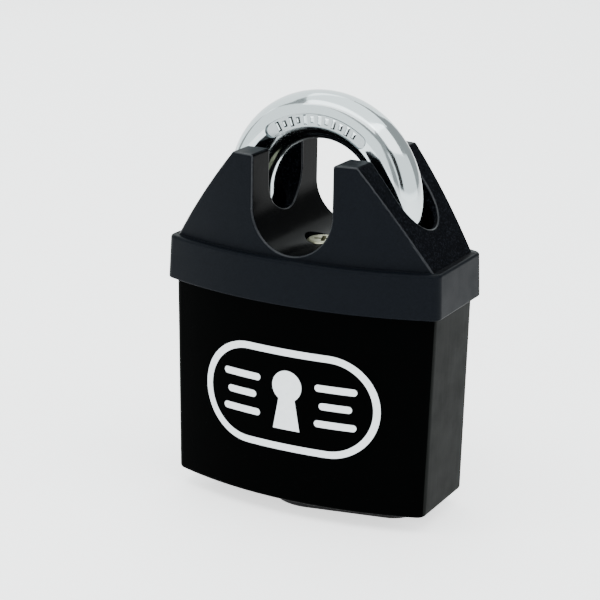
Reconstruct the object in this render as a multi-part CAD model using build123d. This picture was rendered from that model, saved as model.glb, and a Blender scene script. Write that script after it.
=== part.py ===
from build123d import *
import os
from math import acos, cos, radians, sin

# A closed-shackle padlock of the 60 mm class, in millimetres.
# +Z is up along the shackle legs, the front looks along -Y and the long (heel) leg is at -X.
# The origin is under the middle of the padlock, on the surface that it stands on.
# Every joint is at zero as drawn: shackle down, lock plug in the unlocked position, cover shut.

# ---------------------------------------------------------------- driving dimensions
# Keyway cover under the body
COVER_THICK = 3.3
COVER_GAP = 0.2            # between the cover and the body
COVER_RADIUS = 9.9         # round the keyway
COVER_TAIL_RADIUS = 6.5    # round the pivot
PIVOT_X = 17.7

# Body: flat sides, bowed front and back
BODY_HALF_WIDTH = 30.3     # at the collar
BODY_TAPER = 0.8           # lost on each side towards the foot
BODY_HALF_DEPTH = 15.65    # at the middle of the bow
SIDE_HALF_DEPTH = 9.8      # at the flat sides
BODY_HEIGHT = 43.6         # foot to collar
BODY_CORNER = 2.2          # rounding of the upright corners
FOOT_EDGE = 0.8            # rounding round the foot
JACKET_WALL = 1.2
JACKET_FLOOR = 1.6
CORE_CLEARANCE = 0.05      # jacket to brass core

# Shroud: the collar and the two shackle guards, one casting
COLLAR_HEIGHT = 9.4
COLLAR_HALF_WIDTH = 31.4   # at the collar's top
COLLAR_PROUD = 1.4         # of the collar's top beyond the body's bowed faces
COLLAR_FLARE = 0.35        # the collar's lower edge reaches this much further
COLLAR_CORNER = 2.3
DECK_THICK = 2.5
GUARD_HEIGHT = 20.65
GUARD_BASE_HALF = 29.7
GUARD_TOP_HALF = 14.2
GUARD_BULGE = 0.5          # of the sloping sides
GUARD_SETBACK = 0.3        # of the guards' faces behind the body's bowed faces
GUARD_EDGE = 0.5           # rounding of the guards' outline
NOTCH_HALF = 9.15          # gap for the hasp, between the guards
NOTCH_CENTRE_UP = 9.9      # centre of its round bottom above the collar
WELL_RADIUS = 7.3          # well round each shackle leg
WINDOW_HALF = 7.4          # slot across both guards, for the bow
WINDOW_CENTRE_UP = 13.9    # centre of its round bottom above the collar
WINDOW_EDGE = 0.35         # rounding of its rims
SADDLE_HOLE_RADIUS = 4.0

# Shackle
BAR_RADIUS = 5.05
LEG_X = 17.2               # from the middle to each leg
BOW_UP = 10.3              # bow's centre above the collar
PANEL_RADIUS = 16.8        # curved panel stamped into the bow's front, its middle line
PANEL_HALF_WIDTH = 1.5
PANEL_HALF_ARC = 37.0      # degrees on each side of the top
PANEL_DEPTH = 0.45
PANEL_GROOVE = 0.35        # width of the deeper groove just inside the panel's rim
PANEL_GROOVE_DEPTH = 0.7
LIFT = 36.0                # shackle's travel

# Ball lock
BALL_RADIUS = 3.0
BALL_Z = 46.0
TOE_BITE = 1.7             # of a locked ball into its leg
HEEL_REST_BITE = 0.7       # the heel ball never leaves its leg, and so keeps the shackle
TOE_REST_GAP = 0.15        # the toe ball stops this short of its leg when unlocked
CAM_GAP = 0.2              # ball to cam
NOTCH_GAP = 0.3            # ball to the hollows in the legs
PLUG_TURN = 90.0

# Pin-tumbler cylinder
PLUG_RADIUS = 5.95
SHELL_RADIUS = 8.0
SHELL_BACK = 12.4          # the pin housing reaches this far behind the axis
PIN_RADIUS = 1.35
PIN_PITCH = 3.9
FIRST_PIN_Z = 8.8
PIN_TIPS = [1.6, 2.4, 1.1, 2.9, 1.9]   # key pins' inner ends, from the plug's axis
RUNNING_GAP = 0.05         # radial, of a turning or sliding fit
LOOSE_GAP = 0.1

# ---------------------------------------------------------------- derived levels and radii
FOOT_Z = COVER_THICK + COVER_GAP
FLOOR_Z = FOOT_Z + JACKET_FLOOR
COLLAR_Z = FOOT_Z + BODY_HEIGHT
LEDGE_Z = COLLAR_Z + COLLAR_HEIGHT
DECK_UNDER_Z = LEDGE_Z - DECK_THICK
CORE_TOP_Z = DECK_UNDER_Z - LOOSE_GAP
GUARD_TOP_Z = LEDGE_Z + GUARD_HEIGHT
BOW_Z = LEDGE_Z + BOW_UP
NOTCH_Z = LEDGE_Z + NOTCH_CENTRE_UP
SADDLE_Z = NOTCH_Z - NOTCH_HALF
WINDOW_Z = LEDGE_Z + WINDOW_CENTRE_UP

BOW_DROP = BODY_HALF_DEPTH - SIDE_HALF_DEPTH
FACE_RADIUS = (BODY_HALF_WIDTH**2 + BOW_DROP**2) / (2 * BOW_DROP)
FACE_CENTRE = FACE_RADIUS - BODY_HALF_DEPTH

LEG_INNER = LEG_X - BAR_RADIUS
LEG_BORE = BAR_RADIUS + LOOSE_GAP
BALL_LOCKED = LEG_INNER + TOE_BITE - BALL_RADIUS
TOE_REST = LEG_INNER - TOE_REST_GAP - BALL_RADIUS
HEEL_REST = LEG_INNER + HEEL_REST_BITE - BALL_RADIUS
HOLLOW_RADIUS = BALL_RADIUS + NOTCH_GAP
TOE_END_Z = BALL_Z - HOLLOW_RADIUS - 1.2
HEEL_END_Z = FLOOR_Z + 0.3
TOE_BORE_Z = 28.0
CHAMBER_TOP_Z = BALL_Z + BALL_RADIUS + 0.2
CORE_BORE = SHELL_RADIUS + LOOSE_GAP

PLUG_HEAD_RADIUS = 7.0
PLUG_HEAD_TOP_Z = FLOOR_Z
PLUG_FACE_Z = FOOT_Z + 0.2
SHELL_Z = FLOOR_Z + LOOSE_GAP
SHELL_TOP_Z = 27.6
CLIP_Z = SHELL_TOP_Z + LOOSE_GAP
CLIP_THICK = 0.8
CLIP_NECK = 5.2
PLUG_END_Z = CLIP_Z + CLIP_THICK + 0.9
TAIL_Z = 26.0
TAIL_TOP_Z = 34.5
TAIL_HALF_WIDTH = 3.5
TAIL_HALF_THICK = 1.0
CAM_Z = PLUG_END_Z + 0.6
CAM_FLANGE_TOP_Z = CAM_Z + 2.0
CAM_LOBE_Z = BALL_Z - BALL_RADIUS
CAM_TOP_Z = CHAMBER_TOP_Z - 0.2
CAM_HUB = 4.8
DRIVER_START = PLUG_RADIUS + 0.2
DRIVER_LENGTH = 3.0
STRIP_Y = 11.5
STRIP_THICK = 0.7
KEY_PIN_END = PLUG_RADIUS - 0.3
LOCK_PIN_RADIUS = 1.25
LOCK_PIN_Z = 24.0

SADDLE_SCREW_SEAT_Z = SADDLE_Z - 2.0
SADDLE_SCREW_TOP_Z = SADDLE_Z + 0.2
SADDLE_SCREW_HEAD = 3.6
SADDLE_SCREW_SHANK = 2.0
SADDLE_SCREW_END_Z = CHAMBER_TOP_Z + 1.0
RIVET_RADIUS = 1.6
RIVET_HEAD = 3.0
RIVET_END_Z = 12.0
STOP_PIP_RADIUS = 0.7
STOP_PIP_ORBIT = 4.4
COVER_SWING = 110.0
BASE_SCREW_X = 25.0
BASE_SCREW_Y = 6.0
BASE_SCREW_RADIUS = 1.5
BASE_SCREW_HEAD = 2.7
BASE_SCREW_END_Z = 13.0


# ---------------------------------------------------------------- shared shapes
def rod(radius, low, high, x=0.0, y=0.0):
    """Upright cylinder between two heights."""
    return Pos(x, y, (low + high) / 2) * Cylinder(radius, high - low)


def rod_along_x(radius, start, end, z, y=0.0):
    """Cylinder along X between two places."""
    return Pos((start + end) / 2, y, z) * Rot(0, 90, 0) * Cylinder(radius, end - start)


def rod_along_y(radius, start, end, x, z):
    """Cylinder along Y between two places."""
    return Pos(x, (start + end) / 2, z) * Rot(90, 0, 0) * Cylinder(radius, end - start)


def block(x_range, y_range, z_range):
    """Box between three pairs of limits."""
    sizes = [high - low for low, high in (x_range, y_range, z_range)]
    middle = [(low + high) / 2 for low, high in (x_range, y_range, z_range)]
    return Pos(*middle) * Box(*sizes)


def bowed_plan(half_width, grow=0.0, corner=0.0):
    """Plan of the padlock: two flat sides and two bowed faces, which grow moves outwards."""
    faces = Pos(0, FACE_CENTRE) * Circle(FACE_RADIUS + grow) & Pos(0, -FACE_CENTRE) * Circle(FACE_RADIUS + grow)
    plan = faces & Rectangle(2 * half_width, 4 * BODY_HALF_DEPTH)
    return fillet(plan.vertices(), corner) if corner else plan


def half_width_at(z):
    """Half width of the tapering body at a height."""
    return BODY_HALF_WIDTH - BODY_TAPER * (COLLAR_Z - z) / BODY_HEIGHT


def body_form(inset, low, high):
    """Tapering body form with rounded upright corners, inset on every side."""
    corner = BODY_CORNER - inset
    levels = []
    for z in (low, high):
        levels.append(Pos(0, 0, z) * bowed_plan(half_width_at(z) - inset, -inset, corner))
    return loft(levels, ruled=True)


# ---------------------------------------------------------------- body
def make_jacket():
    """Black outer shell of the body, open at the top, with a floor round the keyway."""
    shell = body_form(0, FOOT_Z, CORE_TOP_Z - 0.2)
    shell = fillet(shell.edges().group_by(Axis.Z)[0], FOOT_EDGE)
    shell -= body_form(JACKET_WALL, FLOOR_Z, CORE_TOP_Z + 5)
    shell -= rod(PLUG_HEAD_RADIUS + 2 * LOOSE_GAP, 0, FLOOR_Z + 1)
    shell -= rod(RIVET_RADIUS + LOOSE_GAP, 0, FLOOR_Z + 1, PIVOT_X)
    shell -= rod(RIVET_HEAD + LOOSE_GAP, 0, FOOT_Z + 0.5, PIVOT_X)
    shell -= stop_groove()
    for x, y in base_screw_places():
        shell -= base_screw(x, y, LOOSE_GAP)
    return shell


def stop_groove():
    """Curved groove in the floor whose ends stop the keyway cover's pip."""
    width = STOP_PIP_RADIUS + 0.15
    ring = rod(STOP_PIP_ORBIT + width, FOOT_Z - 1, FLOOR_Z - 0.3) - rod(STOP_PIP_ORBIT - width, FOOT_Z - 1, FLOOR_Z)
    half = COVER_SWING / 2
    reach = 2 * STOP_PIP_ORBIT
    far = reach / cos(radians(half) / 2)
    corners = [(0, 0)] + [(far * cos(radians(a)), far * sin(radians(a))) for a in (-half, -half / 2, half / 2, half)]
    wedge = extrude(Polygon(*corners, align=None), amount=FLOOR_Z)
    groove = ring & wedge
    for angle in (-half, half):
        x = STOP_PIP_ORBIT * cos(radians(angle))
        y = STOP_PIP_ORBIT * sin(radians(angle))
        groove += rod(width, FOOT_Z - 1, FLOOR_Z - 0.3, x, y)
    return Pos(PIVOT_X, 0) * groove


def base_screw_places():
    return [(sx * BASE_SCREW_X, sy * BASE_SCREW_Y) for sx in (-1, 1) for sy in (-1, 1)]


def base_screw(x, y, grow=0.0):
    """Countersunk screw that holds the jacket's floor to the core."""
    head_height = BASE_SCREW_HEAD - BASE_SCREW_RADIUS
    head = Cone(BASE_SCREW_HEAD + grow, BASE_SCREW_RADIUS + grow, head_height)
    head = Pos(x, y, FOOT_Z + head_height / 2) * head
    return head + rod(BASE_SCREW_RADIUS + grow, FOOT_Z + head_height, BASE_SCREW_END_Z + grow, x, y)


def make_base_screws():
    """The four jacket screws, each with a cross recess."""
    screws = []
    for x, y in base_screw_places():
        recess = block((-1.5, 1.5), (-0.3, 0.3), (0, FOOT_Z + 0.8)) + block((-0.3, 0.3), (-1.5, 1.5), (0, FOOT_Z + 0.8))
        screws.append(base_screw(x, y) - Pos(x, y) * recess)
    return screws


def make_lock_core():
    """Brass block that fills the jacket and holds the mechanism."""
    core = body_form(JACKET_WALL + CORE_CLEARANCE, FLOOR_Z + CORE_CLEARANCE, CORE_TOP_Z)
    core -= rod(LEG_BORE, 0, CORE_TOP_Z + 1, -LEG_X)
    core -= rod(LEG_BORE, TOE_BORE_Z, CORE_TOP_Z + 1, LEG_X)
    core -= rod(CORE_BORE, 0, CHAMBER_TOP_Z)
    core -= block((-3.1, 3.1), (0, SHELL_BACK + LOOSE_GAP), (0, SHELL_TOP_Z + 0.4))
    core -= rod_along_x(BALL_RADIUS + RUNNING_GAP, -LEG_X, LEG_X, BALL_Z)
    core -= rod(SADDLE_SCREW_SHANK + 0.02, SADDLE_SCREW_END_Z - 0.1, CORE_TOP_Z + 1)
    core -= rod(RIVET_RADIUS + 0.02, 0, RIVET_END_Z + 0.1, PIVOT_X)
    core -= rod_along_y(LOCK_PIN_RADIUS + 0.02, -20, 20, -SHELL_RADIUS, LOCK_PIN_Z)
    for x, y in base_screw_places():
        core -= rod(BASE_SCREW_RADIUS + 0.02, 0, BASE_SCREW_END_Z + 0.3, x, y)
    return core


# ---------------------------------------------------------------- shroud
def make_shroud():
    """Collar and shackle guards in one casting."""
    upper = bowed_plan(COLLAR_HALF_WIDTH, COLLAR_PROUD, COLLAR_CORNER)
    lower = bowed_plan(COLLAR_HALF_WIDTH + COLLAR_FLARE, COLLAR_PROUD + COLLAR_FLARE, COLLAR_CORNER)
    collar = loft([Pos(0, 0, COLLAR_Z) * lower, Pos(0, 0, LEDGE_Z) * upper], ruled=True)
    collar = fillet(collar.edges().group_by(Axis.Z)[-1], 0.6)
    collar = fillet(collar.edges().group_by(Axis.Z)[0], 0.3)

    hollow_plan = bowed_plan(half_width_at(CORE_TOP_Z) + LOOSE_GAP, LOOSE_GAP, BODY_CORNER)
    hollow = extrude(Pos(0, 0, COLLAR_Z - 1) * hollow_plan, amount=DECK_UNDER_Z - COLLAR_Z + 1)
    shroud = collar + make_guards() - hollow - bow_window()
    shroud = fillet(window_rims(shroud), WINDOW_EDGE)

    shroud -= rod(SADDLE_HOLE_RADIUS, SADDLE_SCREW_SEAT_Z, SADDLE_Z + 5)
    shroud -= rod(SADDLE_SCREW_SHANK + LOOSE_GAP, COLLAR_Z, SADDLE_Z)
    for side in (-1, 1):
        shroud -= rod(WELL_RADIUS, COLLAR_Z, GUARD_TOP_Z + 1, side * LEG_X)
    return shroud


def window_rims(shroud):
    """The two edges where the slot for the bow opens onto the guards' slopes; its other rims run on from them."""
    rims = []
    for edge in shroud.edges():
        middle = edge.center()
        on_slope = abs(middle.X) > LEG_X and LEDGE_Z + 1 < middle.Z < WINDOW_Z
        if on_slope and edge.bounding_box().size.Y > WINDOW_HALF and abs(middle.Y) < 0.1:
            rims.append(edge)
    return rims


def bow_window():
    """Round-bottomed slot across both guards, open at the top, that gives the bow its room."""
    height = GUARD_TOP_Z - WINDOW_Z + 1
    profile = Circle(WINDOW_HALF) + Pos(0, height / 2) * Rectangle(2 * WINDOW_HALF, height)
    return extrude(Plane((0, 0, WINDOW_Z), x_dir=(0, 1, 0), z_dir=(1, 0, 0)) * profile, amount=40, both=True)


def guard_outline():
    """Front view of the two guards: sloping, slightly bulging sides, flat tops and the hasp notch."""
    middle_x = (GUARD_BASE_HALF + GUARD_TOP_HALF) / 2 + GUARD_BULGE
    middle_z = LEDGE_Z + GUARD_HEIGHT / 2
    base_z = LEDGE_Z - 1.0
    right = ThreePointArc((GUARD_BASE_HALF, LEDGE_Z), (middle_x, middle_z), (GUARD_TOP_HALF, GUARD_TOP_Z))
    left = ThreePointArc((-GUARD_TOP_HALF, GUARD_TOP_Z), (-middle_x, middle_z), (-GUARD_BASE_HALF, LEDGE_Z))
    top = Line((GUARD_TOP_HALF, GUARD_TOP_Z), (-GUARD_TOP_HALF, GUARD_TOP_Z))
    base = Polyline(
        (-GUARD_BASE_HALF, LEDGE_Z), (-GUARD_BASE_HALF, base_z), (GUARD_BASE_HALF, base_z), (GUARD_BASE_HALF, LEDGE_Z)
    )
    notch = Pos(0, NOTCH_Z) * Circle(NOTCH_HALF) + Pos(0, NOTCH_Z + 15) * Rectangle(2 * NOTCH_HALF, 30)
    face = make_face([right, top, left, base]) - notch
    return fillet(face.vertices().group_by(Axis.Y)[-1], 0.6)


def make_guards():
    """Two guards with the hasp notch between them, before the wells are cut."""
    plan = Pos(0, 0, LEDGE_Z - 1) * bowed_plan(2 * BODY_HALF_WIDTH, -GUARD_SETBACK)
    guards = extrude(plan, amount=GUARD_HEIGHT + 2)
    guards &= extrude(Plane.XZ * guard_outline(), amount=2 * BODY_HALF_DEPTH, both=True)
    outline = [e for e in guards.edges() if abs(e.center().Y) > 5 and e.center().Z > LEDGE_Z + 0.1]
    return fillet(outline, GUARD_EDGE)


def make_saddle_screw():
    """Brass screw in the saddle between the guards, with a cross recess."""
    head = rod(SADDLE_SCREW_HEAD, SADDLE_SCREW_SEAT_Z, SADDLE_SCREW_TOP_Z)
    head = fillet(head.edges().group_by(Axis.Z)[-1], 0.6)
    screw = head + rod(SADDLE_SCREW_SHANK, SADDLE_SCREW_END_Z, SADDLE_SCREW_SEAT_Z)
    for angle in (0, 90):
        screw -= Pos(0, 0, SADDLE_SCREW_TOP_Z) * Rot(0, 0, angle + 20) * Box(4.2, 0.9, 2.6)
    return screw


def make_shackle_seals():
    """Rubber rings at the foot of the two wells."""
    rings = []
    for side in (-1, 1):
        ring = rod(WELL_RADIUS - LOOSE_GAP, CORE_TOP_Z + 0.02, LEDGE_Z, side * LEG_X)
        rings.append(ring - rod(BAR_RADIUS + 0.2, CORE_TOP_Z - 1, LEDGE_Z + 1, side * LEG_X))
    return rings


# ---------------------------------------------------------------- shackle and ball lock
def bow_path():
    """Half circle of the shackle's bow, from the heel leg to the toe leg."""
    return ThreePointArc((-LEG_X, 0, BOW_Z), (0, 0, BOW_Z + LEG_X), (LEG_X, 0, BOW_Z))


def make_shackle():
    """Hardened bow with a long heel leg and a short toe leg, hollowed where the balls lock it."""
    path = Line((-LEG_X, 0, HEEL_END_Z), (-LEG_X, 0, BOW_Z)) + bow_path()
    path += Line((LEG_X, 0, BOW_Z), (LEG_X, 0, TOE_END_Z))
    section = Plane((-LEG_X, 0, HEEL_END_Z), z_dir=(0, 0, 1)) * Circle(BAR_RADIUS)
    bar = sweep(section, path=path)
    ends = bar.edges().filter_by(GeomType.CIRCLE).filter_by(lambda e: e.center().Z < TOE_END_Z + 0.1)
    bar = chamfer(ends, 0.9)

    for side in (-1, 1):
        bar -= Pos(side * BALL_LOCKED, 0, BALL_Z) * Sphere(HOLLOW_RADIUS)
    groove_z = BALL_Z - LIFT
    bar -= rod(HOLLOW_RADIUS, groove_z, BALL_Z, -HEEL_REST)
    bar -= Pos(-LEG_X, 0, groove_z) * Torus(LEG_X - BALL_LOCKED, HOLLOW_RADIUS)
    return bar - stamped_panel()


def stamped_panel():
    """Shallow curved slot stamped into the bow's front, with a deeper groove just inside its rim."""
    middle_line = CenterArc((0, 0), PANEL_RADIUS, 90 - PANEL_HALF_ARC, 2 * PANEL_HALF_ARC)
    outline = SlotArc(middle_line, 2 * PANEL_HALF_WIDTH)
    groove = outline - SlotArc(middle_line, 2 * (PANEL_HALF_WIDTH - PANEL_GROOVE))
    return pressed_in(outline, PANEL_DEPTH) + pressed_in(groove, PANEL_GROOVE_DEPTH)


def pressed_in(outline, depth):
    """Tool that presses a front-view outline into the bow to a depth."""
    floor = Plane((0, depth - BAR_RADIUS, BOW_Z), x_dir=(1, 0, 0), z_dir=(0, -1, 0))
    return extrude(floor * outline, amount=2)


def make_ball(side, rest):
    """Steel locking ball."""
    return Pos(side * rest, 0, BALL_Z) * Sphere(BALL_RADIUS)


def cam_radius(angle):
    """Cam's radius at an angle in degrees from the toe side: highest at 90, where both balls lock."""
    top = BALL_LOCKED - BALL_RADIUS - CAM_GAP
    toe = TOE_REST - BALL_RADIUS - CAM_GAP
    heel = HEEL_REST - BALL_RADIUS - CAM_GAP
    if angle <= PLUG_TURN:
        return toe + (top - toe) * angle / PLUG_TURN
    return heel + (top - heel) * (2 * PLUG_TURN - angle) / PLUG_TURN


def cam_flank(start, end):
    """Spiral flank of the cam between two angles."""
    steps = 6
    points = []
    for step in range(steps + 1):
        angle = start + (end - start) * step / steps
        radius = cam_radius(abs(angle))
        points.append((radius * cos(radians(angle)), radius * sin(radians(angle))))
    return Spline(*points)


def make_cam():
    """Turning cam that pushes the balls outwards, driven by the tailpiece."""
    flanks = [cam_flank(-180, -90), cam_flank(-90, 0), cam_flank(0, 90), cam_flank(90, 180)]
    lobes = extrude(Pos(0, 0, CAM_LOBE_Z) * make_face(flanks), amount=CAM_TOP_Z - CAM_LOBE_Z)
    cam = lobes + rod(CAM_HUB, CAM_Z, CAM_LOBE_Z) + rod(SHELL_RADIUS, CAM_Z, CAM_FLANGE_TOP_Z)
    slot_y = TAIL_HALF_THICK + LOOSE_GAP
    slot_x = TAIL_HALF_WIDTH + LOOSE_GAP
    return cam - block((-slot_x, slot_x), (-slot_y, slot_y), (CAM_Z - 1, TAIL_TOP_Z + 0.2))


def make_shackle_spring():
    """Coil spring under the toe leg, drawn pressed down."""
    wire = 0.6
    coil_radius = 3.8
    low = TOE_BORE_Z + wire + 0.1
    height = TOE_END_Z - 0.1 - wire - low
    helix = Pos(LEG_X, 0, low) * Helix(pitch=height / 5, height=height, radius=coil_radius)
    return sweep(Plane(helix @ 0, z_dir=helix % 0) * Circle(wire), path=helix, is_frenet=True)


# ---------------------------------------------------------------- cylinder
def pin_heights():
    return [FIRST_PIN_Z + i * PIN_PITCH for i in range(len(PIN_TIPS))]


def make_shell():
    """Cylinder shell: a tube round the plug with a pin housing behind it."""
    shell = rod(SHELL_RADIUS, SHELL_Z, SHELL_TOP_Z)
    shell += block((-3, 3), (0, SHELL_BACK), (SHELL_Z, SHELL_TOP_Z))
    shell -= rod(PLUG_RADIUS + RUNNING_GAP, 0, SHELL_TOP_Z + 1)
    for z in pin_heights():
        shell -= rod_along_y(PIN_RADIUS + RUNNING_GAP, PLUG_RADIUS - 1, STRIP_Y, 0, z)
    shell -= block((-1.7, 1.7), (STRIP_Y, STRIP_Y + STRIP_THICK + 1), (SHELL_Z + 1, SHELL_TOP_Z - 1))
    shell -= rod_along_y(LOCK_PIN_RADIUS + 0.02, -20, 20, -SHELL_RADIUS, LOCK_PIN_Z)
    for x, y in drill_pin_places():
        shell -= rod(0.67, 0, 12.1, x, y)
    return shell


def drill_pin_places():
    orbit = (PLUG_RADIUS + RUNNING_GAP + SHELL_RADIUS) / 2
    return [(orbit * cos(radians(a)), orbit * sin(radians(a))) for a in (210, 270, 330)]


def make_drill_pins():
    """Hardened pins in the shell's face, against drilling."""
    return [rod(0.65, SHELL_Z, 12.0, x, y) for x, y in drill_pin_places()]


def make_plug():
    """Turning plug with its keyway and five pin chambers, which face +X when unlocked."""
    plug = rod(PLUG_RADIUS, PLUG_FACE_Z, PLUG_END_Z) + rod(PLUG_HEAD_RADIUS, PLUG_FACE_Z, PLUG_HEAD_TOP_Z)
    plug = chamfer(plug.edges().group_by(Axis.Z)[0], 0.4)
    keyway = block((-4.9, 3.4), (-0.95, 0.95), (0, TAIL_Z - 1)) + block((-2.2, -0.6), (0, 1.9), (0, TAIL_Z - 1))
    plug -= keyway
    for z in pin_heights():
        plug -= rod_along_x(PIN_RADIUS + RUNNING_GAP, 0.8, PLUG_RADIUS + 1, z)
    neck = rod(PLUG_RADIUS + 1, CLIP_Z - 0.02, CLIP_Z + CLIP_THICK + 0.02) - rod(CLIP_NECK, 0, PLUG_END_Z)
    plug -= neck
    slot_x = TAIL_HALF_WIDTH + 0.02
    slot_y = TAIL_HALF_THICK + 0.02
    return plug - block((-slot_x, slot_x), (-slot_y, slot_y), (TAIL_Z, PLUG_END_Z + 1))


def make_clip():
    """Open ring that keeps the plug in the shell."""
    ring = rod(PLUG_HEAD_RADIUS, CLIP_Z, CLIP_Z + CLIP_THICK) - rod(CLIP_NECK + 0.03, 0, PLUG_END_Z)
    return ring - block((0, 10), (-2.5, 2.5), (0, PLUG_END_Z))


def make_tailpiece():
    """Flat blade from the plug's end into the cam."""
    x_range = (-TAIL_HALF_WIDTH, TAIL_HALF_WIDTH)
    return block(x_range, (-TAIL_HALF_THICK, TAIL_HALF_THICK), (TAIL_Z, TAIL_TOP_Z))


def make_key_pins():
    """Five pins of different lengths in the plug, ends at the shear line."""
    pins = []
    for tip, z in zip(PIN_TIPS, pin_heights()):
        pin = rod_along_x(PIN_RADIUS, tip, KEY_PIN_END, z)
        pins.append(chamfer(pin.edges().filter_by(GeomType.CIRCLE).group_by(Axis.X)[0], 0.6))
    return pins


def make_driver_pins():
    return [rod_along_y(PIN_RADIUS, DRIVER_START, DRIVER_START + DRIVER_LENGTH, 0, z) for z in pin_heights()]


def make_pin_springs():
    """Fine springs behind the driver pins."""
    wire = 0.15
    start = DRIVER_START + DRIVER_LENGTH + wire + 0.05
    length = STRIP_Y - wire - 0.05 - start
    springs = []
    for z in pin_heights():
        helix = Pos(0, start, z) * Rot(-90, 0, 0) * Helix(pitch=length / 4, height=length, radius=1.0)
        springs.append(sweep(Plane(helix @ 0, z_dir=helix % 0) * Circle(wire), path=helix, is_frenet=True))
    return springs


def make_spring_strip():
    """Brass strip that closes the pin housing."""
    return block((-1.68, 1.68), (STRIP_Y + 0.02, STRIP_Y + STRIP_THICK), (SHELL_Z + 1.02, SHELL_TOP_Z - 1.02))


def make_lock_pin():
    """Cross pin that holds the shell in the core."""
    return rod_along_y(LOCK_PIN_RADIUS, -13.5, 13.5, -SHELL_RADIUS, LOCK_PIN_Z)


# ---------------------------------------------------------------- keyway cover
def make_cover():
    """Swinging drop-shaped cover, hollow over the keyway, with a pip that runs in the floor's groove."""
    lean = acos((COVER_RADIUS - COVER_TAIL_RADIUS) / PIVOT_X)
    corners = []
    for centre, radius in ((0, COVER_RADIUS), (PIVOT_X, COVER_TAIL_RADIUS)):
        for turn in (lean, -lean) if centre == 0 else (-lean, lean):
            corners.append((centre + radius * cos(turn), radius * sin(turn)))
    plan = Circle(COVER_RADIUS) + Pos(PIVOT_X, 0) * Circle(COVER_TAIL_RADIUS) + Polygon(*corners, align=None)
    cover = extrude(plan, amount=COVER_THICK)
    cover = fillet(cover.edges().group_by(Axis.Z)[0], 0.8)
    cover -= rod(COVER_RADIUS - 1.5, COVER_THICK - 1.4, COVER_THICK + 1)
    cover -= rod(RIVET_RADIUS + 0.08, -1, COVER_THICK + 1, PIVOT_X)
    cover -= rod(RIVET_HEAD + 0.2, -1, 1.7, PIVOT_X)
    angle = radians(-COVER_SWING / 2)
    pip_x = PIVOT_X + STOP_PIP_ORBIT * cos(angle)
    pip_y = STOP_PIP_ORBIT * sin(angle)
    return cover + rod(STOP_PIP_RADIUS, COVER_THICK, FLOOR_Z - 0.5, pip_x, pip_y)


def make_cover_rivet():
    """Rivet that the cover turns on, its head sunk in the cover."""
    head = rod(RIVET_HEAD, 0.5, 1.6, PIVOT_X)
    head = fillet(head.edges().group_by(Axis.Z)[0], 0.4)
    return head + rod(RIVET_RADIUS, 1.6, RIVET_END_Z, PIVOT_X)


def make_cover_washer():
    """Spring washer that presses on the cover."""
    washer = rod(RIVET_HEAD - 0.1, FOOT_Z - 0.05, FOOT_Z + 0.45, PIVOT_X)
    return washer - rod(RIVET_RADIUS + 0.1, 0, FLOOR_Z, PIVOT_X)


# ---------------------------------------------------------------- assembly
NODES = {
    "body_jacket": make_jacket,
    "base_screws": make_base_screws,
    "lock_core": make_lock_core,
    "shroud": make_shroud,
    "saddle_screw": make_saddle_screw,
    "shackle_seals": make_shackle_seals,
    "shackle": make_shackle,
    "toe_ball": lambda: make_ball(1, TOE_REST),
    "heel_ball": lambda: make_ball(-1, HEEL_REST),
    "locking_cam": make_cam,
    "shackle_spring": make_shackle_spring,
    "cylinder_shell": make_shell,
    "drill_pins": make_drill_pins,
    "cylinder_plug": make_plug,
    "plug_clip": make_clip,
    "tailpiece": make_tailpiece,
    "key_pins": make_key_pins,
    "driver_pins": make_driver_pins,
    "pin_springs": make_pin_springs,
    "spring_strip": make_spring_strip,
    "cylinder_pin": make_lock_pin,
    "keyway_cover": make_cover,
    "cover_rivet": make_cover_rivet,
    "cover_washer": make_cover_washer,
}


def main():
    os.makedirs("parts", exist_ok=True)
    for name, make in NODES.items():
        made = make()
        shape = Compound(children=made) if isinstance(made, list) else made
        shape.label = name
        export_step(shape, f"parts/{name}.step")


main()
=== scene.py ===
from math import cos, hypot, pi, radians, sin, sqrt

import bpy
from mathutils import Matrix, Vector


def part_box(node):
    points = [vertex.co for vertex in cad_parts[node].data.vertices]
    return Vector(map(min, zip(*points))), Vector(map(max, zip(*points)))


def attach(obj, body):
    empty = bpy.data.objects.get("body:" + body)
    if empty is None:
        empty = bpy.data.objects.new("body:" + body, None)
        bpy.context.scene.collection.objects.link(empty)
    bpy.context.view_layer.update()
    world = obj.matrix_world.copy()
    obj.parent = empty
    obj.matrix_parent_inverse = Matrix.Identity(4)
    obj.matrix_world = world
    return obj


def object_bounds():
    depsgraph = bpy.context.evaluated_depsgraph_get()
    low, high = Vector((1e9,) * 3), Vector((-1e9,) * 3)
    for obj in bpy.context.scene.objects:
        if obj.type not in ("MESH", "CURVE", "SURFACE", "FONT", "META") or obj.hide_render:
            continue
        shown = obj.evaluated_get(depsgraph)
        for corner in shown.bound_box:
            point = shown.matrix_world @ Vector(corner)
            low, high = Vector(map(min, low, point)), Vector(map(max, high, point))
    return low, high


# Looks for the closed-shackle padlock. Metres, in the same frame as the CAD model.
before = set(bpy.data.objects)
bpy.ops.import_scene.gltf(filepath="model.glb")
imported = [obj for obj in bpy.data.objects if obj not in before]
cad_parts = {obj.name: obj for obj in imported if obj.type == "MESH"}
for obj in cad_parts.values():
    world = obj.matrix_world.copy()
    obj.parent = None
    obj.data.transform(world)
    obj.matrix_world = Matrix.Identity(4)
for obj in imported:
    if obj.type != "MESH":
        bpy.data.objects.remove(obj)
bounds_at_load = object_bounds()

MM = 0.001

# ---------------------------------------------------------------- camera, driving values
CAMERA_AZIMUTH = 27.45      # degrees round from the front towards +X
CAMERA_RISE = 16.98
CAMERA_ROLL = 0.97
CAMERA_DISTANCE = 0.4221
CAMERA_TARGET = Vector((-0.0042, -0.0022, 0.0438))
CAMERA_LENS = 119.26        # mm, on a 36 mm sensor

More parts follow.
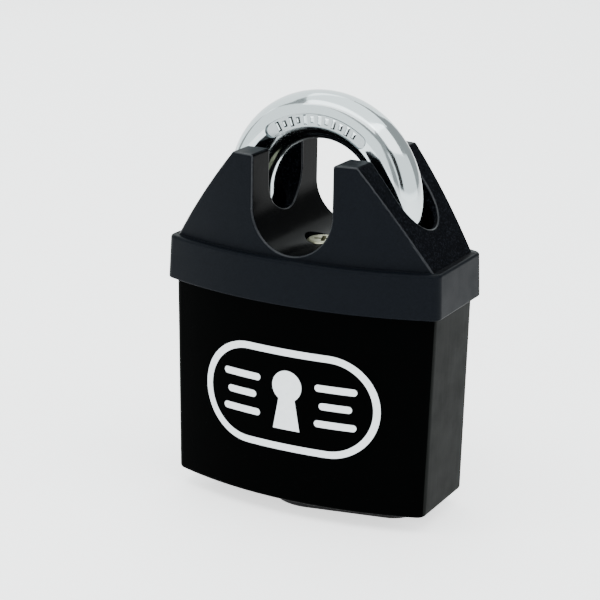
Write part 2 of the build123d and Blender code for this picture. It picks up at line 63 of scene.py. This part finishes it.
# ---------------------------------------------------------------- printed emblem on the front
EMBLEM_HALF_WIDTH = 20.5 * MM
EMBLEM_HALF_HEIGHT = 11.2 * MM
EMBLEM_LINE = 1.5 * MM
EMBLEM_UP = 22.6 * MM       # its centre above the jacket's foot
KEYHOLE_RADIUS = 3.4 * MM
KEYHOLE_FOOT = 3.1 * MM     # half width of the flared foot
KEYHOLE_HEIGHT = 13.0 * MM
BAR_HALF_LENGTHS = [4.6 * MM, 3.6 * MM, 4.6 * MM]
BAR_THICKNESS = 1.5 * MM
BAR_PITCH = 3.9 * MM
BAR_OUT = 11.0 * MM         # from the emblem's middle to the bars' middles
INK_THICKNESS = 0.04 * MM
FINEST = 0.01 * MM          # least half width of a printed row
COLUMNS = 24                # steps across each printed row
BAR_ROWS = 12
KEYHOLE_ROWS = 60
ARC_STEPS = 32              # steps round each end of the frame, and along each straight side
STRAIGHT_STEPS = 16

# ---------------------------------------------------------------- raised marks in the shackle's panel
PANEL_RADIUS = 16.8 * MM
PANEL_MARGIN = 0.1 * MM
GROOVE_DEPTH = 0.4 * MM     # of the groove round the panel, below its floor
RIB_COUNT = 12
RIB_SPACING = 5.6           # degrees of the bow
RIB_LENGTHS = [2.1 * MM, 1.4 * MM]
RIB_WIDTH = 0.9 * MM
RIB_PROUD = 0.25 * MM

# ---------------------------------------------------------------- surfaces of the shroud
WELL_REACH = 7.45 * MM      # the wells and the slot between them lie within this of the middle plane
SLOT_RADIUS = 7.4 * MM      # the slot's round bottom
SLOT_CENTRE_UP = 13.9 * MM  # its centre above the collar
RIM_WIDTH = 0.35 * MM       # of the rounding round its openings
RIM_START = 8.0 * MM        # the openings in the notch's walls lie between these, from the middle out
WELL_START = 9.8 * MM
NOTCH_REACH = 9.3 * MM      # and the notch within this of the middle, the other way

# ---------------------------------------------------------------- places read from the frame
jacket_foot_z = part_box("body_jacket")[0][2]
shackle_low, shackle_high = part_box("shackle")
ground_z = bounds_at_load[0][2]
bow_reach = (shackle_high[0] - shackle_low[0]) / 2
bow_centre_z = shackle_high[2] - bow_reach
guard_foot_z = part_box("shackle_seals")[1][2]    # the seals end flush with the collar's top
slot_centre_z = guard_foot_z + SLOT_CENTRE_UP


def first_y(node, x, z):
    """Where a node's surface is, at a place seen from the front."""
    hit, place, _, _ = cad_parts[node].ray_cast(Vector((x, -1.0, z)), Vector((0.0, 1.0, 0.0)))
    if not hit:
        raise ValueError(f"{node} has no surface at {x:.4f}, {z:.4f}")
    return place.y


panel_floor_y = first_y("shackle", 0.0, bow_centre_z + PANEL_RADIUS)


# ---------------------------------------------------------------- shader helpers
class Shader:
    """A material being built: a principled shader plus short ways to add nodes to it."""

    def __init__(self, name, color, roughness, metallic=0.0):
        self.material = bpy.data.materials.new(name)
        self.material.use_nodes = True
        self.tree = self.material.node_tree
        self.surface = self.tree.nodes["Principled BSDF"]
        self.set("Base Color", (*color, 1.0))
        self.set("Roughness", roughness)
        self.set("Metallic", metallic)
        self.place = self.tree.nodes.new("ShaderNodeTexCoord").outputs["Object"]
        self.normal = None

    def set(self, socket, value):
        self.surface.inputs[socket].default_value = value

    def feed(self, socket, source):
        self.tree.links.new(source, self.surface.inputs[socket])

    def node(self, kind, **inputs):
        made = self.tree.nodes.new(kind)
        for name, value in inputs.items():
            socket = made.inputs[name.replace("_", " ")]
            if isinstance(value, bpy.types.NodeSocket):
                self.tree.links.new(value, socket)
            else:
                socket.default_value = value
        return made

    def noise(self, size, detail=3.0, stretch=(1.0, 1.0, 1.0)):
        """Cloudy pattern from 0 to 1 whose features are about size metres."""
        scaled = self.node("ShaderNodeMapping", Vector=self.place, Scale=stretch)
        vector = scaled.outputs["Vector"]
        cloud = self.node("ShaderNodeTexNoise", Vector=vector, Scale=1.0 / size, Detail=detail)
        return cloud.outputs["Fac"]

    def range(self, source, low, high, start=0.3, end=0.7):
        """Maps a pattern's start..end to low..high."""
        made = self.node("ShaderNodeMapRange", Value=source)
        made.inputs["From Min"].default_value = start
        made.inputs["From Max"].default_value = end
        made.inputs["To Min"].default_value = low
        made.inputs["To Max"].default_value = high
        return made.outputs["Result"]

    def mix(self, factor, first, second):
        """Blend of two colours."""
        made = self.tree.nodes.new("ShaderNodeMix")
        made.data_type = "RGBA"
        self.tree.links.new(factor, made.inputs["Factor"])
        for socket, color in ((made.inputs[6], first), (made.inputs[7], second)):
            if isinstance(color, bpy.types.NodeSocket):
                self.tree.links.new(color, socket)
            else:
                socket.default_value = (*color, 1.0)
        return made.outputs[2]

    def bump(self, height, depth, strength=1.0):
        """Fine relief; further calls add to it."""
        made = self.node("ShaderNodeBump", Height=height, Distance=depth, Strength=strength)
        if self.normal is not None:
            self.tree.links.new(self.normal, made.inputs["Normal"])
        self.normal = made.outputs["Normal"]
        self.feed("Normal", self.normal)

    def soften_edges(self, radius):
        """Rounds sharp edges in the shading only."""
        made = self.node("ShaderNodeBevel", Radius=radius)
        made.samples = 6
        self.normal = made.outputs["Normal"]
        self.feed("Normal", self.normal)


# ---------------------------------------------------------------- materials
def black_enamel():
    """The jacket's bowed faces: smooth black enamel."""
    s = Shader("black_enamel", (0.0003, 0.0004, 0.0004), 0.2)
    s.set("Specular IOR Level", 0.004)
    s.feed("Roughness", s.range(s.noise(7 * MM), 0.16, 0.28))
    s.soften_edges(0.3 * MM)
    s.bump(s.noise(3.0 * MM, 2.0), 0.01 * MM, 0.25)
    return s.material


def black_satin():
    """The jacket's flat sides: a duller black with upright brush marks."""
    s = Shader("black_satin", (0.005, 0.0055, 0.0052), 0.4)
    s.set("Specular IOR Level", 0.01)
    brushed = s.noise(0.5 * MM, 3.0, stretch=(1.0, 1.0, 0.03))
    s.feed("Base Color", s.mix(s.range(brushed, 0.0, 1.0), (0.004, 0.0045, 0.0042), (0.0062, 0.0068, 0.0064)))
    s.feed("Roughness", s.range(s.noise(4 * MM), 0.34, 0.46))
    s.soften_edges(0.3 * MM)
    s.bump(brushed, 0.01 * MM, 0.5)
    return s.material


def black_powder_coat():
    """The shroud: satin black powder coat over a casting."""
    s = Shader("black_powder_coat", (0.003, 0.0037, 0.0051), 0.42)
    s.set("Specular IOR Level", 0.024)
    grain = s.range(s.noise(0.35 * MM, 3.0), 0.0, 1.0)
    s.feed("Base Color", s.mix(grain, (0.0024, 0.0031, 0.0044), (0.0038, 0.0048, 0.0066)))
    s.feed("Roughness", s.range(s.noise(5 * MM), 0.36, 0.48))
    s.soften_edges(0.25 * MM)
    s.bump(s.noise(0.25 * MM, 2.0), 0.012 * MM, 0.6)
    return s.material


def edge_highlight_coat():
    """The shroud's rounded edges, coloured lighter than the rest of the coat as a painted highlight."""
    # Lighter base colours than the powder coat: painted highlight along the edges.
    s = Shader("edge_highlight_coat", (0.012, 0.0135, 0.016), 0.32)
    s.set("Specular IOR Level", 0.16)
    highlight_patches = s.range(s.noise(1.5 * MM), 0.0, 1.0)
    s.feed("Base Color", s.mix(highlight_patches, (0.008, 0.009, 0.0115), (0.014, 0.0155, 0.018)))
    s.feed("Roughness", s.range(s.noise(2 * MM), 0.25, 0.38))
    s.bump(s.noise(0.25 * MM, 2.0), 0.008 * MM, 0.4)
    return s.material


def notch_gloss_and_painted_shade():
    """The notch under the bow: a smoother, glossier coat, with a darker base colour as painted shade."""
    # Darker base than the powder coat: painted shade inside the notch.
    s = Shader("notch_gloss_and_painted_shade", (0.0009, 0.001, 0.0012), 0.22)
    s.set("Specular IOR Level", 0.016)
    s.feed("Roughness", s.range(s.noise(4 * MM), 0.18, 0.27))
    s.soften_edges(0.25 * MM)
    s.bump(s.noise(0.3 * MM, 2.0), 0.012 * MM, 0.5)
    return s.material


def sand_grain_and_painted_shade():
    """The shroud's slopes and wells, where the casting was left rough, with a sandy grain; the darker base
    colours are painted shade.
    """
    # Darker base colours than the powder coat: painted shade on the slopes and in the wells.
    s = Shader("sand_grain_and_painted_shade", (0.001, 0.0013, 0.002), 0.4)
    s.set("Specular IOR Level", 0.009)
    grain = s.noise(0.4 * MM, 2.0)
    specks = s.range(grain, 0.0, 1.0, 0.52, 0.68)
    s.feed("Base Color", s.mix(specks, (0.0005, 0.0007, 0.0013), (0.0065, 0.0075, 0.01)))
    s.feed("Roughness", s.range(s.noise(3 * MM), 0.34, 0.46))
    s.soften_edges(0.25 * MM)
    s.bump(grain, 0.05 * MM, 0.7)
    return s.material


def chrome_plate():
    """The shackle: polished chrome with faint wiping marks."""
    s = Shader("chrome_plate", (0.5, 0.555, 0.57), 0.1, 1.0)
    s.feed("Roughness", s.range(s.noise(5 * MM, 4.0), 0.08, 0.13))
    s.bump(s.noise(1.5 * MM, 2.0), 0.004 * MM, 0.15)
    return s.material


def stamped_chrome():
    """The floor of the shackle's stamped panel: duller plating over the die's grain."""
    s = Shader("stamped_chrome", (0.3, 0.335, 0.345), 0.22, 1.0)
    s.feed("Roughness", s.range(s.noise(1.0 * MM), 0.18, 0.28))
    s.bump(s.noise(0.3 * MM, 2.0), 0.01 * MM, 0.6)
    return s.material


def metal(name, color, roughness, grain=0.3 * MM, stretch=(1.0, 1.0, 1.0)):
    """Bare metal with machining grain."""
    s = Shader(name, color, roughness, 1.0)
    darker = tuple(0.75 * c for c in color)
    s.feed("Base Color", s.mix(s.range(s.noise(3 * MM), 0.0, 1.0), color, darker))
    s.feed("Roughness", s.range(s.noise(1.5 * MM), roughness * 0.8, roughness * 1.3))
    s.bump(s.noise(grain, 2.0, stretch=stretch), 0.01 * MM, 0.4)
    return s.material


def rubber():
    s = Shader("black_rubber", (0.012, 0.012, 0.012), 0.7)
    s.feed("Roughness", s.range(s.noise(1.0 * MM), 0.6, 0.8))
    s.bump(s.noise(0.2 * MM, 2.0), 0.02 * MM, 0.5)
    return s.material


def black_plastic():
    s = Shader("black_plastic", (0.006, 0.006, 0.0065), 0.5)
    s.set("Specular IOR Level", 0.1)
    s.feed("Roughness", s.range(s.noise(2.0 * MM), 0.42, 0.58))
    s.soften_edges(0.2 * MM)
    s.bump(s.noise(0.18 * MM, 2.0), 0.02 * MM, 0.6)
    return s.material


def white_ink():
    """Screen-printed ink: pale, a little cool, slightly uneven."""
    s = Shader("white_ink", (0.68, 0.72, 0.74), 0.45)
    uneven = s.range(s.noise(1.0 * MM, 4.0), 0.0, 1.0)
    s.feed("Base Color", s.mix(uneven, (0.66, 0.70, 0.725), (0.72, 0.755, 0.775)))
    s.bump(s.noise(0.15 * MM, 2.0), 0.005 * MM, 0.4)
    return s.material


def paint(material, *nodes):
    """Gives CAD nodes a material."""
    for name in nodes:
        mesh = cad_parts[name].data
        mesh.materials.clear()
        mesh.materials.append(material)


def finish_faces(name, material, chosen):
    """Gives the faces of a node that chosen picks another material."""
    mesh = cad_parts[name].data
    mesh.materials.append(material)
    for polygon in mesh.polygons:
        if chosen(polygon):
            polygon.material_index = len(mesh.materials) - 1


def on_flat_side(polygon):
    """Whether a face of the jacket is on one of its two flat sides."""
    return abs(polygon.normal.x) > 0.9


def on_rim(polygon):
    """Whether a face of the shroud is on the rounded rim of the slot that the bow passes through."""
    out = abs(polygon.center.x)
    drop = min(polygon.center.z - slot_centre_z, 0.0)
    past_slot = hypot(polygon.center.y, drop) - SLOT_RADIUS
    clear_of_well = polygon.normal.z > 0.1 or out < WELL_START
    return 0.0 < past_slot < RIM_WIDTH and out > RIM_START and clear_of_well


def on_highlighted_edge(polygon):
    """Whether a face of the shroud is on the rounded edges of its guards, which get a painted highlight."""
    on_edge = abs(polygon.center.y) > WELL_REACH and 0.2 < abs(polygon.normal.y) < 0.9
    return polygon.center.z > guard_foot_z and (on_edge or on_rim(polygon))


def in_notch(polygon):
    """Whether a face of the shroud is part of the notch under the bow."""
    between = abs(polygon.center.x) < NOTCH_REACH
    return polygon.center.z > guard_foot_z and between and abs(polygon.normal.y) < 0.2


def on_slope_or_well(polygon):
    """Whether a face of the shroud is on a slope or in a well."""
    if polygon.center.z < guard_foot_z or abs(polygon.center.x) < NOTCH_REACH:
        return False
    on_slope = abs(polygon.normal.y) < 0.2 and polygon.normal.z < 0.95
    return on_slope or abs(polygon.center.y) < WELL_REACH


def in_panel(polygon):
    """Whether a face of the shackle is on the floor of its stamped panel or in the groove round it."""
    behind_face = polygon.center.y - panel_floor_y
    on_floor = polygon.normal.y < -0.99 and behind_face > -PANEL_MARGIN
    on_wall = abs(polygon.normal.y) < 0.5
    return behind_face < GROOVE_DEPTH and (on_floor or on_wall)


def paint_everything(chrome):
    paint(black_enamel(), "body_jacket")
    finish_faces("body_jacket", black_satin(), on_flat_side)
    paint(black_powder_coat(), "shroud")
    # Slopes and wells: sandy grain with painted shade.
    finish_faces("shroud", sand_grain_and_painted_shade(), on_slope_or_well)
    # Notch under the bow: glossier coat with painted shade.
    finish_faces("shroud", notch_gloss_and_painted_shade(), in_notch)
    # Guards' rounded edges: painted highlight.
    finish_faces("shroud", edge_highlight_coat(), on_highlighted_edge)
    paint(chrome, "shackle")
    finish_faces("shackle", stamped_chrome(), in_panel)
    paint(metal("turned_brass", (0.72, 0.54, 0.25), 0.28), "lock_core", "cylinder_shell", "cylinder_plug",
          "key_pins", "spring_strip")
    paint(metal("dull_brass", (0.36, 0.355, 0.25), 0.36), "saddle_screw")
    paint(metal("zinc_plate", (0.6, 0.61, 0.63), 0.34), "base_screws", "locking_cam", "tailpiece",
          "driver_pins", "cylinder_pin", "cover_rivet")
    paint(metal("ground_steel", (0.72, 0.72, 0.73), 0.1), "toe_ball", "heel_ball")
    paint(metal("spring_steel", (0.42, 0.42, 0.43), 0.32), "shackle_spring", "drill_pins", "plug_clip",
          "pin_springs", "cover_washer")
    paint(rubber(), "shackle_seals")
    paint(black_plastic(), "keyway_cover")


# ---------------------------------------------------------------- printed emblem
def add_mesh(name, points, quads, material, body):
    """A new mesh piece that moves with a body."""
    mesh = bpy.data.meshes.new(name)
    mesh.from_pydata(points, [], quads)
    mesh.materials.append(material)
    piece = bpy.data.objects.new(name, mesh)
    bpy.context.scene.collection.objects.link(piece)
    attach(piece, body)
    return piece


def print_rows(name, rows, ink):
    """Thin layer of ink laid on the front face, from rows of places seen from the front."""
    columns = len(rows[0])
    points = []
    for lift in (0.0, INK_THICKNESS):
        for row in rows:
            points += [(x, first_y("body_jacket", x, z) - lift, z) for x, z in row]
    layer = len(rows) * columns
    quads = []
    for r in range(len(rows) - 1):
        for c in range(columns - 1):
            corner = r * columns + c
            top = layer + corner
            quads.append((top, top + 1, top + columns + 1, top + columns))
    rim = [c for c in range(columns)]
    rim += [r * columns + columns - 1 for r in range(1, len(rows))]
    rim += [(len(rows) - 1) * columns + c for c in range(columns - 2, -1, -1)]
    rim += [r * columns for r in range(len(rows) - 2, 0, -1)]
    for first, second in zip(rim, rim[1:] + rim[:1]):
        quads.append((first, second, layer + second, layer + first))
    return add_mesh(name, points, quads, ink, "body")


def row_places(x, z, reach):
    """Evenly spaced places along a printed row, from its middle, its height and its half width."""
    return [(x + reach * (2 * c / COLUMNS - 1), z) for c in range(COLUMNS + 1)]


def rounded_half(height, half_length, end_radius):
    """Half length of a round-ended bar at a height from its middle."""
    return half_length - end_radius + sqrt(max(end_radius**2 - height**2, 0.0))


def print_bar(name, x, z, half_length, ink):
    """Printed bar with round ends."""
    half = BAR_THICKNESS / 2
    rows = []
    for step in range(BAR_ROWS + 1):
        height = half * sin(pi * (step / BAR_ROWS - 0.5))
        reach = rounded_half(height, half_length, half)
        rows.append(row_places(x, z + height, reach))
    print_rows(name, rows, ink)


def print_keyhole(x, z, ink):
    """Printed keyhole: a disc on a flared foot."""
    foot_z = -KEYHOLE_HEIGHT / 2
    disc_z = KEYHOLE_HEIGHT / 2 - KEYHOLE_RADIUS
    neck = 0.4 * KEYHOLE_RADIUS
    rows = []
    for step in range(KEYHOLE_ROWS + 1):
        height = foot_z + KEYHOLE_HEIGHT * sin(pi / 2 * step / KEYHOLE_ROWS)
        disc = sqrt(max(KEYHOLE_RADIUS**2 - (height - disc_z) ** 2, 0.0))
        share = min(max((disc_z - height) / (disc_z - foot_z), 0.0), 1.0)
        stem = neck + (KEYHOLE_FOOT - neck) * share if height < disc_z else 0.0
        reach = max(disc, stem, FINEST)
        rows.append(row_places(x, z + height, reach))
    print_rows("emblem_keyhole", rows, ink)


def capsule_outline(half_width, half_height):
    """Places round a capsule lying on its side, starting and ending at the same one."""
    straight = half_width - half_height
    places = []
    for side in (1, -1):
        for step in range(ARC_STEPS + 1):
            turn = pi * (step / ARC_STEPS - 0.5)
            places.append((side * (straight + half_height * cos(turn)), side * half_height * sin(turn)))
        for step in range(1, STRAIGHT_STEPS):
            places.append((side * straight * (1 - 2 * step / STRAIGHT_STEPS), side * half_height))
    return places + places[:1]


def print_frame(x, z, ink):
    """Printed capsule-shaped frame round the emblem."""
    rows = []
    for inset in (0.0, EMBLEM_LINE / 2, EMBLEM_LINE):
        outline = capsule_outline(EMBLEM_HALF_WIDTH - inset, EMBLEM_HALF_HEIGHT - inset)
        rows.append([(x + u, z + v) for u, v in outline])
    print_rows("emblem_frame", rows, ink)


def add_emblem():
    """Generic mark on the front: a keyhole between bars in a capsule-shaped frame."""
    ink = white_ink()
    middle_z = jacket_foot_z + EMBLEM_UP
    print_frame(0.0, middle_z, ink)
    print_keyhole(0.0, middle_z, ink)
    for side, word in ((-1, "left"), (1, "right")):
        for row, half_length in enumerate(BAR_HALF_LENGTHS):
            z = middle_z + (row - 1) * BAR_PITCH
            print_bar(f"emblem_bar_{word}_{row}", side * BAR_OUT, z, half_length, ink)


# ---------------------------------------------------------------- raised marks in the shackle's panel
def add_rib(index, angle, length, chrome):
    """Small raised bar, pointing at the bow's centre, with sloping flanks."""
    points = []
    levels = ((1.0, RIB_PROUD), (1.0, 0.0), (0.35, -RIB_PROUD))
    for share, back in levels:
        for sx, sz in ((-1, -1), (1, -1), (1, 1), (-1, 1)):
            across = sx * share * RIB_WIDTH / 2
            along = PANEL_RADIUS + sz * (length / 2 - (1.0 - share) * RIB_WIDTH / 2)
            x = across * cos(angle) + along * sin(angle)
            z = bow_centre_z + along * cos(angle) - across * sin(angle)
            points.append((x, panel_floor_y + back, z))
    quads = [(8, 9, 10, 11), (3, 2, 1, 0)]
    for low in (0, 4):
        for c in range(4):
            quads.append((low + c, low + (c + 1) % 4, low + 4 + (c + 1) % 4, low + 4 + c))
    add_mesh(f"shackle_rib_{index}", points, quads, chrome, "shackle")


def add_ribs(chrome):
    """Row of long and short raised marks along the panel."""
    for index in range(RIB_COUNT):
        angle = radians((index - (RIB_COUNT - 1) / 2) * RIB_SPACING)
        add_rib(index, angle, RIB_LENGTHS[index % 2], chrome)


# ---------------------------------------------------------------- stage, light and camera
STAGE_MIDDLE = Vector((0.0, 0.0, 0.05))
LAMP_DISTANCE = 0.7
FLAG_AZIMUTH = 48.0         # the black card that draws the dark streak down the chrome
FLAG_RISE = 19.0
FLAG_DISTANCE = 0.62
FLAG_SIZE = (0.16, 0.36)
FLOOR_SIZE = 40.0


def direction(azimuth, rise):
    """Unit vector at degrees round from the front towards +X, and degrees above the horizon."""
    turn = radians(azimuth)
    up = radians(rise)
    return Vector((cos(up) * sin(turn), -cos(up) * cos(turn), sin(up)))


def add_softbox(name, azimuth, rise, size, radiance, color=(1.0, 1.0, 1.0)):
    """Soft rectangular lamp that faces the padlock, with the brightness that its surface has."""
    lamp = bpy.data.lights.new(name, "AREA")
    lamp.shape = "RECTANGLE"
    lamp.size, lamp.size_y = size
    lamp.energy = pi * radiance * size[0] * size[1]
    lamp.color = color
    holder = bpy.data.objects.new(name, lamp)
    bpy.context.scene.collection.objects.link(holder)
    back = direction(azimuth, rise)
    holder.location = STAGE_MIDDLE + back * LAMP_DISTANCE
    holder.rotation_euler = back.to_track_quat("Z", "Y").to_euler()
    holder.visible_camera = False


def add_lights():
    """Soft boxes nearly all round, with dark gaps behind on the right, towards the camera and high left."""
    cool = (0.94, 1.0, 1.0)
    add_softbox("front_left_softbox", -34, 20, (1.7, 0.7), 1.7, cool)
    add_softbox("front_high_softbox", -12, 60, (0.75, 0.28), 3.0)
    add_softbox("right_low_softbox", 80, 13, (1.4, 0.6), 1.6, cool)
    add_softbox("right_high_softbox", 78, 51, (0.62, 0.38), 3.8)
    add_softbox("overhead_softbox", -90, 88, (0.9, 0.9), 2.3, cool)
    add_softbox("back_left_softbox", -137, 30, (1.25, 0.8), 1.9, cool)

    world = bpy.data.worlds.new("studio")
    bpy.context.scene.world = world
    world.use_nodes = True
    background = world.node_tree.nodes["Background"]
    background.inputs["Color"].default_value = (0.95, 1.0, 1.0, 1.0)
    background.inputs["Strength"].default_value = 0.6


def add_flag():
    """Black card to the right of the camera."""
    back = direction(FLAG_AZIMUTH, FLAG_RISE)
    bpy.ops.mesh.primitive_plane_add(size=1.0, location=STAGE_MIDDLE + back * FLAG_DISTANCE)
    card = bpy.context.object
    card.name = "black_card"
    card.rotation_euler = back.to_track_quat("Z", "Y").to_euler()
    card.scale = (*FLAG_SIZE, 1.0)
    card.data.materials.append(Shader("black_card", (0.002, 0.002, 0.002), 0.9).material)
    card.visible_camera = False


def add_floor():
    """Pale floor, lit a little from below like a light table."""
    bpy.ops.mesh.primitive_plane_add(size=FLOOR_SIZE, location=(0, 0, ground_z))
    floor = bpy.context.object
    floor.name = "floor"
    s = Shader("floor_paint", (0.88, 0.88, 0.88), 0.6)
    s.set("Emission Color", (1.0, 1.0, 1.0, 1.0))
    s.set("Emission Strength", 1.3)
    floor.data.materials.append(s.material)


def add_camera():
    """Camera at the photograph's angle."""
    back = direction(CAMERA_AZIMUTH, CAMERA_RISE)
    camera = bpy.data.objects.new("camera", bpy.data.cameras.new("camera"))
    bpy.context.scene.collection.objects.link(camera)
    turn = back.to_track_quat("Z", "Y") @ Matrix.Rotation(radians(CAMERA_ROLL), 3, "Z").to_quaternion()
    camera.rotation_euler = turn.to_euler()
    camera.location = CAMERA_TARGET + back * CAMERA_DISTANCE
    camera.data.lens = CAMERA_LENS
    camera.data.sensor_width = 36.0
    bpy.context.scene.camera = camera


shackle_chrome = chrome_plate()
paint_everything(shackle_chrome)
add_emblem()
add_ribs(shackle_chrome)
add_floor()
add_lights()
add_flag()
add_camera()
